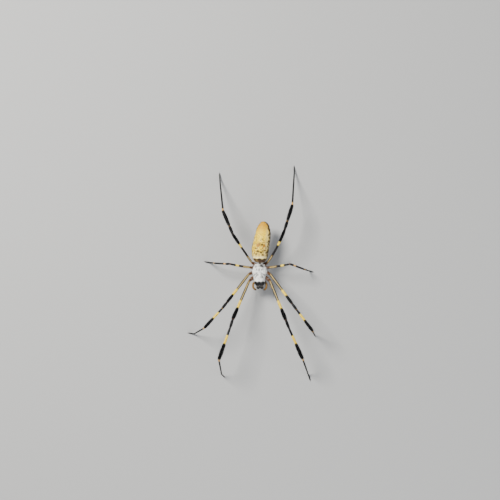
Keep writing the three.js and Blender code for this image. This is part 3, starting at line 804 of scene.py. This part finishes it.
def feel(surface, t, angle):
    """Point, lengthwise direction, outward direction and area share at places on a surface."""
    e = 1e-3
    point = surface.point(t, angle)
    lengthwise = surface.point(t + e, angle) - surface.point(t - e, angle)
    round_it = surface.point(t, angle + e) - surface.point(t, angle - e)
    normal = np.cross(lengthwise, round_it)
    area = np.linalg.norm(normal, axis=-1)
    normal = unit(normal)
    wrong = (normal * (point - surface.inside(t))).sum(-1) < 0
    normal[wrong] *= -1
    return point, unit(lengthwise), normal, area


# Hairs grow no lower than the first height over the floor, and their tips stay above the second
LOWEST_ROOT = 0.4
LOWEST_TIP = 0.1
ROOT_DEPTH = 0.03

# Side of the square that one hair takes on the coat's own map
HAIR_PATCH = 0.003


class Coat:
    """Collects hairs from several surfaces and grows them as one mesh."""

    def __init__(self, name, seed, strips):
        self.name, self.random, self.strips = name, np.random.default_rng(seed), strips
        self.rows = []

    def cover(self, surface, strip, count, span, length, width, tilt, swirl=0.25, angles=(0, TURN),
              colour=None, keep=None, length_by=None):
        """Scatters hairs evenly over part of a surface, all pointing away from the part's start.

        The tilt is how far each stands up from the skin in degrees. A keep function thins them out, from
        place, angle and point.
        """
        rng = self.random
        count = max(count, 4)
        t = rng.uniform(span[0], span[1], count * 4)
        angle = rng.uniform(angles[0], angles[1], count * 4)
        point, ahead, out, area = feel(surface, t, angle)
        chosen = rng.random(len(t)) < area / area.max()
        if keep is not None:
            chosen &= rng.random(len(t)) < keep(t, angle, point)
        chosen &= point[:, 2] > LOWEST_ROOT
        chosen = np.flatnonzero(chosen)[:count]
        t, angle, point, ahead, out = t[chosen], angle[chosen], point[chosen], ahead[chosen], out[chosen]
        n = len(t)
        across = np.cross(out, ahead)
        turn = rng.normal(0, swirl, n)[:, None]
        along_skin = unit(ahead * np.cos(turn) + across * np.sin(turn))
        rise = np.radians(np.clip(rng.normal(tilt, tilt * 0.22, n), 2, 85))[:, None]
        aim = unit(along_skin * np.cos(rise) + out * np.sin(rise))
        aim[:, 2] = np.maximum(aim[:, 2], (LOWEST_TIP - point[:, 2]) / (1.2 * length))
        aim = unit(aim)
        scale = rng.uniform(0.75, 1.15, n)
        if length_by is not None:
            scale = scale * length_by(t)
        tint = part_colour(surface, point) if colour is None else np.tile(linear(colour), (n, 1))
        tint = np.clip(tint * rng.uniform(0.8, 1.2, n)[:, None], 0, 1)
        low = (strip + 0.05) / self.strips
        uv = np.stack((0.02 + 0.95 * np.clip(t, 0, 1), low + 0.9 / self.strips * (angle % TURN) / TURN), 1)
        self.rows.append((point - out * ROOT_DEPTH, aim, out, length * scale, np.full(n, width), tint, uv))
        return n

    def grow(self, finish, curl):
        roots, aim, lean, length, width, tint, uv = (np.concatenate(c) for c in zip(*self.rows))
        mesh = bpy.data.meshes.new(self.name)
        mesh.from_pydata((roots * MM).tolist(), [], [])
        size = np.stack((width, width, length), 1) * MM
        for name, values in (("aim", aim), ("lean", lean), ("size", size)):
            layer = mesh.attributes.new(name, "FLOAT_VECTOR", "POINT")
            layer.data.foreach_set("vector", values.astype(np.float32).ravel())
        obj = new_object(self.name, mesh)
        tree, inputs = bristle_tree()
        modifier = obj.modifiers.new("Bristles", "NODES")
        modifier.node_group = tree
        modifier[inputs["Sides"]] = 3
        modifier[inputs["Curl"]] = curl
        modifier[inputs["Finish"]] = finish
        applied(obj)
        mesh = obj.data
        each = len(mesh.vertices) // len(roots)
        local = np.arange(each)
        for old in ("aim", "lean", "size"):
            if old in mesh.attributes:
                mesh.attributes.remove(mesh.attributes[old])
        paint(mesh, "markings_and_painted_light", np.repeat(tint, each, axis=0))
        patch = np.stack((local % 3 / 2, local // 3 / max(1, each // 3)), 1) * HAIR_PATCH
        corner_uv = (uv[:, None, :] + patch[None]).reshape(-1, 2)
        loops = np.zeros(len(mesh.loops), np.int32)
        mesh.loops.foreach_get("vertex_index", loops)
        while mesh.uv_layers:
            mesh.uv_layers.remove(mesh.uv_layers[0])
        layer = mesh.uv_layers.new(name="OFBake")
        layer.data.foreach_set("uv", corner_uv[loops].astype(np.float32).ravel())
        smooth_shaded(mesh)
        return obj


def sizes_of(context):
    """The sizes that the sidebar shows."""
    return context.scene.spider_sizes


def parts():
    """All flesh of the animal, made once."""
    if not hasattr(parts, "kept"):
        parts.kept = trunk_parts() + leg_parts()
    return parts.kept


def strips_for(kinds):
    """The parts of these kinds and their number."""
    chosen = [p for p in parts() if p.kind in kinds]
    return chosen, len(chosen)


class SpiderSizes(bpy.types.PropertyGroup):
    """Sizes and colours that a user would change."""

    voxel: FloatProperty(
        name="Skin Grid", description="Cell size of the skin in millimetres", default=0.134, min=0.08,
        max=0.4)
    silver_length: FloatProperty(
        name="Silver Down Length", description="Length of the down on the carapace, in mm",
        default=0.36, min=0.1, max=2)
    down_length: FloatProperty(
        name="Abdomen Down Length", description="Length of the down on the abdomen, in mm",
        default=0.26, min=0.05, max=2)
    seta_length: FloatProperty(
        name="Leg Hair Length", description="Length of the hairs on the legs, in mm",
        default=0.3, min=0.05, max=2)
    brush_length: FloatProperty(
        name="Brush Length", description="Length of the longest brush hairs, in mm",
        default=1.15, min=0.2, max=4)
    seed: IntProperty(name="Seed", description="Start of every random draw", default=85, min=0)
    floor_colour: FloatVectorProperty(
        name="Floor Colour", description="Colour of the studio floor", subtype="COLOR", size=3,
        default=(0.385, 0.385, 0.377), min=0, max=1)


class SPIDER_OT_skin(bpy.types.Operator):
    """One closed skin over the body, legs, palps and jaws, with the animal's markings and painted highlights
    and shadow
    """

    bl_idname = "spider.skin"
    bl_label = "Skin"

    def execute(self, context):
        obj = new_object("skin", ring_mesh("skin", [part.rings() for part in parts()]))
        grid = obj.modifiers.new("Grid", "REMESH")
        grid.mode = "VOXEL"
        grid.voxel_size = sizes_of(context).voxel
        soft = obj.modifiers.new("Soft", "SMOOTH")
        soft.factor = 0.5
        soft.iterations = 4
        applied(obj)
        mesh = obj.data
        points, normals = get_points(mesh), get_points(mesh, "normal")
        owner = nearest_part(parts(), points)
        colours = np.zeros((len(points), 3))
        gloss = np.full(len(points), 0.5)
        moved = points.copy()
        for i, part in enumerate(parts()):
            mine = np.flatnonzero(owner == i)
            if not len(mine):
                continue
            colours[mine] = part_colour(part, points[mine])
            gloss[mine] = GLOSS.get(part.kind, 0.45)
            if isinstance(part, Limb) and part.kind in ROUNDED:
                t, angle = part.locate(points[mine])
                true = part.point(t, angle)
                off = np.linalg.norm(true - points[mine], axis=1)
                share = soft_step(0.16, 0.07, off) * soft_step(-0.01, 0.01, t) * soft_step(1.01, 0.99, t)
                moved[mine] = mix(points[mine], true, share)
            moved[mine] += normals[mine] * relief(part, points[mine])[:, None]
        moved[:, 2] = np.maximum(moved[:, 2], 0.0)
        paint(mesh, "markings_and_painted_light", colours)
        store(mesh, "gloss", gloss)
        set_points(mesh, moved * MM)
        smooth_shaded(mesh)
        mesh.materials.clear()
        mesh.materials.append(grained("Marked Skin With Painted Light", "markings_and_painted_light", contrast=0.24, depth=0.000009, specular=0.3))
        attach(obj, "root")
        flesh = [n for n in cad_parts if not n.startswith(("eye_", "fang_"))]
        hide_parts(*flesh)
        return {"FINISHED"}


# Radii of the lenses, and how far each sits in the head
INNER_LENS = 0.19
OUTER_LENS = 0.16
LENS_SINK = 0.05


def lens_rings(foot, outward, radius):
    """A glossy lens in a low socket rim, as rings in the body's frame."""
    profile = [(radius * 0.9, -0.5 * radius), (radius * 1.02, 0.0), (radius, 0.3 * radius)]
    for rise_angle in np.linspace(0.25, 1.5, 9):
        profile.append((radius * math.cos(rise_angle), radius * (0.3 + 0.75 * math.sin(rise_angle))))
    side = unit(np.cross(UP, outward))
    rise = np.cross(outward, side)
    angles = TURN * np.arange(28) / 28
    spokes = np.cos(angles)[:, None] * side + np.sin(angles)[:, None] * rise
    return np.stack([foot + outward * height + reach * spokes for reach, height in profile])


class SPIDER_OT_eyes(bpy.types.Operator):
    """Eight polished lenses in two rows across the head"""

    bl_idname = "spider.eyes"
    bl_label = "Eyes"

    def execute(self, context):
        dark = grained("Eye Lens", EYE_BLACK, scale=2500, contrast=0.6, roughness=0.0, depth=0.000001,
                       coat=1.0)
        for name, foot, outward in eye_spots():
            radius = INNER_LENS if "inner" in name else OUTER_LENS
            rings = lens_rings(foot - outward * LENS_SINK, outward, radius)
            stack = placed(rings.reshape(-1, 3)).reshape(rings.shape) * MM
            obj = new_object("lens_" + name, ring_mesh(name, [stack]))
            smooth_shaded(obj.data)
            obj.data.materials.append(dark)
            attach(obj, "root")
            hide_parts(name)
        return {"FINISHED"}


class SPIDER_OT_fangs(bpy.types.Operator):
    """The two folded fangs under the jaws"""

    bl_idname = "spider.fangs"
    bl_label = "Fangs"

    def execute(self, context):
        horn = grained("Fang Horn", FANG_RED, scale=6000, contrast=0.5, roughness=0.02, depth=0.000004,
                       coat=0.8)
        bends = ((0.72, -6.28, 4.5), (0.79, -6.33, 4.14), (0.77, -6.34, 3.88), (0.58, -6.25, 3.71),
                 (0.34, -6.02, 3.69), (0.18, -5.6, 3.83))
        girth = ((0, 0.2), (0.35, 0.17), (0.7, 0.1), (0.95, 0.045), (1, 0.02))
        for side, name in ((-1, "fang_right"), (1, "fang_left")):
            line = curve_through([(side * x, y, z) for x, y, z in bends], 60)
            fang = Limb("fang", line, girth, sides=20, above=(side * 0.7, 0.7, 0))
            obj = new_object("horn_" + name, ring_mesh(name, [fang.rings() * MM]))
            smooth_shaded(obj.data)
            obj.data.materials.append(horn)
            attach(obj, "root")
            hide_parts(name)
        return {"FINISHED"}


class SPIDER_OT_claws(bpy.types.Operator):
    """Two small hooked claws at the tip of each foot"""

    bl_idname = "spider.claws"
    bl_label = "Claws"

    def execute(self, context):
        stacks = []
        girth = ((0, 0.05), (0.5, 0.038), (1, 0.008))
        for part in parts():
            if part.kind != "tarsus":
                continue
            tip, tangent, across, up = (v[0] for v in part.line(np.array([0.97])))
            ahead = unit(tangent * (1, 1, 0))
            for side in (-1, 1):
                u = np.linspace(0, 1, 9)[:, None]
                line = (tip + up * 0.06 + across * side * (0.05 + 0.06 * u) + ahead * 0.34 * np.sin(u * 1.5)
                        + UP * (0.1 * np.sin(u * 3.0) - 0.02 * u))
                line[:, 2] = np.maximum(line[:, 2], 0.05)
                stacks.append(Limb("claw", line, girth, sides=8).rings() * MM)
        obj = new_object("foot_claws", ring_mesh("foot_claws", stacks))
        smooth_shaded(obj.data)
        obj.data.materials.append(grained("Claw Horn", CLAW_BROWN, scale=8000, contrast=0.4, roughness=0.1,
                                          depth=0.000003, coat=0.4))
        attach(obj, "root")
        return {"FINISHED"}


class SPIDER_OT_silver_coat(bpy.types.Operator):
    """Silvery down that lies flat on the carapace"""

    bl_idname = "spider.silver_coat"
    bl_label = "Silver Coat"

    def execute(self, context):
        sizes = sizes_of(context)
        shell = parts()[0]
        coat = Coat("coat_silver", sizes.seed, 1)
        half = (0.0, math.pi)

        def on_top(t, angle, point):
            x, y, _ = unplaced(point).T
            face = soft_step(0.825, 0.8, t + 0.018 * np.cos(x * TURN / 1.3))
            bare = np.exp(-((x / 0.12) ** 2 + ((y - 0.15) / 0.3) ** 2))
            return face * (1 - 0.8 * bare)

        length = sizes.silver_length
        coat.cover(shell, 0, 14000, (0.01, 0.9), length, 0.026, 11, swirl=0.4, angles=half, keep=on_top)
        coat.cover(shell, 0, 1300, (0.02, 0.86), length * 1.25, 0.018, 24, swirl=0.5, angles=half,
                   keep=on_top)
        coat.cover(shell, 0, 520, (0.82, 0.99), 0.26, 0.014, 26, swirl=0.5, angles=half, colour=SOOT)
        obj = coat.grow(hair_material("Silver Down", 0.42, 0.6, 0.15), 4.0)
        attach(obj, "root")
        return {"FINISHED"}


class SPIDER_OT_abdomen_coat(bpy.types.Operator):
    """Fine down over the abdomen, the spinnerets and the waist"""

    bl_idname = "spider.abdomen_coat"
    bl_label = "Abdomen Coat"

    def execute(self, context):
        sizes = sizes_of(context)
        chosen, strips = strips_for(("abdomen", "spinneret", "pedicel"))
        coat = Coat("coat_abdomen", sizes.seed + 1, strips)
        for strip, part in enumerate(chosen):
            if part.kind == "abdomen":
                coat.cover(part, strip, 14000, (0.01, 0.99), sizes.down_length, 0.011, 20)
                coat.cover(part, strip, 500, (0.02, 0.98), sizes.down_length * 2.2, 0.011, 42, colour=SOOT)
            else:
                coat.cover(part, strip, 160, (0.2, 0.97), 0.24, 0.011, 32, colour=RUST)
        obj = coat.grow(hair_material("Abdomen Down", 0.55, 0.1, 0.0), 3.0)
        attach(obj, "root")
        return {"FINISHED"}


class SPIDER_OT_leg_coat(bpy.types.Operator):
    """Short hairs and long spines along the legs, and down on the coxae, palps and underside"""

    bl_idname = "spider.leg_coat"
    bl_label = "Leg Coat"

    # Hairs on each square millimetre and their growth, where a segment differs from the others
    GROWTH = {"patella": (26, 1.0), "metatarsus": (38, 1.4), "tarsus": (38, 1.2)}

    # Length of the hairs on the parts of the underside that differ from the coxae
    UNDER_LENGTH = {"palp": 0.3, "sternum": 0.3, "mouth": 0.26, "chelicera": 0.16}

    def execute(self, context):
        sizes = sizes_of(context)
        finish = hair_material("Leg Hair", 0.42, 0.25, 0.0)
        for name, pairs, seed in (("coat_front_legs", (0, 1), 2), ("coat_rear_legs", (2, 3), 3)):
            chosen = [p for p in parts() if p.kind in SEGMENTS and POSE[p.owner][1] in pairs]
            coat = Coat(name, sizes.seed + seed, len(chosen))
            for strip, part in enumerate(chosen):
                thick = part.radius(np.array([0.5]))[0]
                density, growth = self.GROWTH.get(part.kind, (20, 1.0))
                count = int(part.length * thick * TURN * density)
                length = sizes.seta_length * (0.6 + thick) * growth
                coat.cover(part, strip, count, (0.02, 0.98), length, 0.012, 24)
                spines = int(part.length * (1.6 if part.kind != "tarsus" else 0.5))
                coat.cover(part, strip, spines, (0.1, 0.95), 0.62, 0.018, 30, swirl=0.15, colour=SOOT)
            obj = coat.grow(finish, 2.5)
            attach(obj, "root")
        chosen, strips = strips_for(("coxa", "trochanter", "palp", "sternum", "mouth", "chelicera"))
        coat = Coat("coat_underside", sizes.seed + 4, strips)
        for strip, part in enumerate(chosen):
            length = self.UNDER_LENGTH.get(part.kind, 0.34)
            thick = part.radius(np.array([0.5]))[0]
            count = int(part.length * thick * TURN * (34 if part.kind == "palp" else 18))
            coat.cover(part, strip, count, (0.05, 0.97), length, 0.013, 26)
            if part.kind == "palp":
                coat.cover(part, strip, 60, (0.35, 0.97), 0.45, 0.015, 34, colour=DARK_RUST)
            if part.kind == "coxa":
                coat.cover(part, strip, 60, (0.2, 0.95), 0.42, 0.014, 28, colour=SILVER,
                           angles=(0.3, math.pi - 0.3))
        obj = coat.grow(finish, 2.5)
        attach(obj, "root")
        return {"FINISHED"}


class SPIDER_OT_brushes(bpy.types.Operator):
    """The black bottle brushes on the first, second and fourth legs, with the pale hairs beside them"""

    bl_idname = "spider.brushes"
    bl_label = "Brushes"

    # Name of each piece, its leg pair and its own step of the seed
    PIECES = (("brushes_first", 0, 5), ("brushes_second", 1, 6), ("brushes_fourth", 3, 7))

    # Pair and segment: where the brush starts and ends, its length beside the longest, and where the pale
    # hairs before it start
    BRUSHES = {
        (0, "femur"): (0.72, 0.99, 0.9, 0.56),
        (0, "patella"): (0.08, 0.97, 0.32, 0.07),
        (0, "tibia"): (0.5, 0.97, 1.0, 0.27),
        (1, "femur"): (0.74, 0.99, 0.55, 0.58),
        (1, "patella"): (0.08, 0.97, 0.3, 0.07),
        (1, "tibia"): (0.5, 0.96, 0.72, 0.24),
        (3, "femur"): (0.66, 0.99, 0.72, 0.58),
        (3, "patella"): (0.05, 0.97, 0.5, 0.04),
        (3, "tibia"): (0.05, 0.96, 0.7, 0.03),
    }

    def execute(self, context):
        sizes = sizes_of(context)
        finish = hair_material("Brush Hair", 0.42, 0.25, 0.0)
        for name, pair, seed in self.PIECES:
            chosen = [p for p in parts() if p.owner in POSE and POSE[p.owner][1] == pair
                      and (pair, p.kind) in self.BRUSHES]
            coat = Coat(name, sizes.seed + seed, len(chosen))
            for strip, part in enumerate(chosen):
                low, high, share, pale = self.BRUSHES[(pair, part.kind)]
                reach = sizes.brush_length * share
                middle = (low + high) / 2

                def crown(t, low=low, high=high):
                    u = np.clip((t - low) / (high - low), 0, 1)
                    return 0.45 + 0.6 * np.sin(np.pi * np.clip(u * 0.85 + 0.12, 0, 1))

                count = int(part.length * (high - low) * 330)
                coat.cover(part, strip, count, (low, high), reach, 0.017, 27, swirl=0.12, colour=INK,
                           length_by=crown)
                pale_count = int(part.length * (low - pale) * 190)
                coat.cover(part, strip, pale_count, (pale, low), 0.36 + 0.2 * share, 0.014, 17, swirl=0.12)
                coat.cover(part, strip, count // 4, (middle, high), reach * 0.7, 0.015, 40, swirl=0.3,
                           colour=INK)
            obj = coat.grow(finish, 3.0)
            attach(obj, "root")
        return {"FINISHED"}


# The camera's place over the back, and the width of floor that fills the frame at the body's height
CAMERA_OVER = (-0.436, 8.664)
CAMERA_HEIGHT = 608.0
BODY_LEVEL = 8.0
FRAME_WIDTH = 180.0
FLOOR_WIDTH = 4000.0

# Each lamp: name, place, the point it shines at, width, power and colour
LAMPS = (
    ("key", (-240, 220, 400), (0, 0, 5), 190, 5.8, (1.0, 0.98, 0.94)),
    ("fill", (300, -150, 300), (0, 0, 5), 300, 0.7, (0.9, 0.95, 1.0)),
    ("rim", (60, -380, 160), (0, 0, 8), 240, 0.7, (1.0, 1.0, 1.0)),
)
SKY_COLOUR = (0.86, 0.9, 1.0, 1)
SKY_STRENGTH = 0.4


def area_light(name, place, target, size, power, colour):
    """A round soft lamp."""
    data = bpy.data.lights.new(name, "AREA")
    data.shape, data.size, data.energy, data.color = "DISK", size * MM, power, colour
    obj = new_object(name, data)
    obj.location = Vector(place) * MM
    obj.rotation_euler = (Vector(target) - Vector(place)).to_track_quat("-Z", "Y").to_euler()
    return obj


class SPIDER_OT_stage(bpy.types.Operator):
    """Plain pale floor, soft studio light and the camera straight over the back"""

    bl_idname = "spider.stage"
    bl_label = "Stage"

    def execute(self, context):
        half = FLOOR_WIDTH / 2 * MM
        corners = [(-half, -half, 0), (half, -half, 0), (half, half, 0), (-half, half, 0)]
        mesh = bpy.data.meshes.new("floor")
        mesh.from_pydata(corners, [], [(0, 1, 2, 3)])
        floor = new_object("floor", mesh)
        made_floor, shader = material("Studio Floor", roughness=0.8, specular=0.2)
        shader.inputs["Base Color"].default_value = (*sizes_of(context).floor_colour, 1)
        mesh.materials.append(made_floor)
        for lamp in LAMPS:
            area_light(*lamp)
        world = bpy.data.worlds.new("studio")
        context.scene.world = world
        world.use_nodes = True
        sky = world.node_tree.nodes["Background"]
        sky.inputs["Color"].default_value = SKY_COLOUR
        sky.inputs["Strength"].default_value = SKY_STRENGTH
        data = bpy.data.cameras.new("camera")
        data.sensor_width = 36
        data.lens = data.sensor_width * (CAMERA_HEIGHT - BODY_LEVEL) / FRAME_WIDTH
        data.clip_start, data.clip_end = 0.01, 10
        camera = new_object("camera", data)
        camera.location = (CAMERA_OVER[0] * MM, CAMERA_OVER[1] * MM, CAMERA_HEIGHT * MM)
        context.scene.camera = camera
        return {"FINISHED"}


class SPIDER_PT_panel(bpy.types.Panel):
    """Lists the pieces in the order in which they are made"""

    bl_label = "Orb Weaver"
    bl_idname = "SPIDER_PT_panel"
    bl_space_type = "VIEW_3D"
    bl_region_type = "UI"
    bl_category = "Spider"

    def draw(self, context):
        sizes = sizes_of(context)
        for name in SpiderSizes.__annotations__:
            self.layout.prop(sizes, name)
        for operator in OPERATORS:
            self.layout.operator(operator.bl_idname)


OPERATORS = (SPIDER_OT_skin, SPIDER_OT_eyes, SPIDER_OT_fangs, SPIDER_OT_claws, SPIDER_OT_silver_coat,
             SPIDER_OT_abdomen_coat, SPIDER_OT_leg_coat, SPIDER_OT_brushes, SPIDER_OT_stage)
CLASSES = (SpiderSizes, *OPERATORS, SPIDER_PT_panel)


def register():
    for cls in CLASSES:
        bpy.utils.register_class(cls)
    bpy.types.Scene.spider_sizes = PointerProperty(type=SpiderSizes)


def unregister():
    del bpy.types.Scene.spider_sizes
    for cls in reversed(CLASSES):
        bpy.utils.unregister_class(cls)


def main():
    register()
    for operator in OPERATORS:
        group, name = operator.bl_idname.split(".")
        getattr(getattr(bpy.ops, group), name)()
    bpy.context.view_layer.update()


if __name__ == "__main__":
    main()
